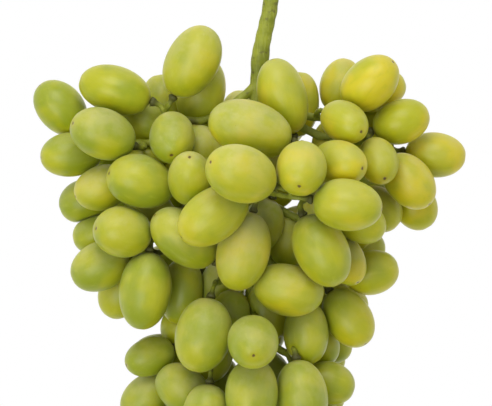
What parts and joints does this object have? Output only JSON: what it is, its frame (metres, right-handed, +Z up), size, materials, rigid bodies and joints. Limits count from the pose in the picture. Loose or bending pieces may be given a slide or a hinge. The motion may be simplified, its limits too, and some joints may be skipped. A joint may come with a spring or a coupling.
{
  "type": "bunch of grapes",
  "caption": "Bunch of white table grapes on its green branching stem, lying down, long round berries packed into a tapering cluster with two shoulders.",
  "frame": {"origin": "on the table under the middle of the bunch's box", "axes": "+Y along the bunch towards the cut end of the stem, +X across it to the right seen from above, +Z up from the table"},
  "size_m": [0.1524, 0.2282, 0.0968],
  "materials": {
    "grape_skin": "translucent yellow-green skin under a thin pale waxy bloom",
    "green_stem": "fresh green stem, matte, slightly fibrous"
  },
  "bodies": {
    "root": {"crown_grape_1": "grape_skin", "crown_grape_2": "grape_skin", "crown_grape_3": "grape_skin", "heart_grape_1": "grape_skin", "heart_grape_10": "grape_skin", "heart_grape_11": "grape_skin", "heart_grape_2": "grape_skin", "heart_grape_3": "grape_skin", "heart_grape_4": "grape_skin", "heart_grape_5": "grape_skin", "heart_grape_6": "grape_skin", "heart_grape_7": "grape_skin", "heart_grape_8": "grape_skin", "heart_grape_9": "grape_skin", "hidden_cluster_1": "grape_skin", "hidden_cluster_10": "grape_skin", "hidden_cluster_11": "grape_skin", "hidden_cluster_12": "grape_skin", "hidden_cluster_13": "grape_skin", "hidden_cluster_2": "grape_skin", "hidden_cluster_3": "grape_skin", "hidden_cluster_4": "grape_skin", "hidden_cluster_5": "grape_skin", "hidden_cluster_6": "grape_skin", "hidden_cluster_7": "grape_skin", "hidden_cluster_8": "grape_skin", "hidden_cluster_9": "grape_skin", "left_shoulder_grape_1": "grape_skin", "left_shoulder_grape_2": "grape_skin", "left_shoulder_grape_3": "grape_skin", "left_shoulder_grape_4": "grape_skin", "left_shoulder_grape_5": "grape_skin", "left_shoulder_grape_6": "grape_skin", "left_shoulder_grape_7": "grape_skin", "left_side_grape_1": "grape_skin", "left_side_grape_2": "grape_skin", "left_side_grape_3": "grape_skin", "left_side_grape_4": "grape_skin", "left_side_grape_5": "grape_skin", "right_shoulder_grape_1": "grape_skin", "right_shoulder_grape_2": "grape_skin", "right_shoulder_grape_3": "grape_skin", "right_shoulder_grape_4": "grape_skin", "right_shoulder_grape_5": "grape_skin", "right_shoulder_grape_6": "grape_skin", "right_shoulder_grape_7": "grape_skin", "right_shoulder_grape_8": "grape_skin", "right_side_grape_1": "grape_skin", "right_side_grape_2": "grape_skin", "right_side_grape_3": "grape_skin", "stem": "green_stem", "waist_grape_1": "grape_skin", "waist_grape_2": "grape_skin", "waist_grape_3": "grape_skin", "waist_grape_4": "grape_skin", "waist_grape_5": "grape_skin", "waist_grape_6": "grape_skin", "waist_grape_7": "grape_skin", "waist_grape_8": "grape_skin", "waist_grape_9": "grape_skin"}
  },
  "joints": []
}
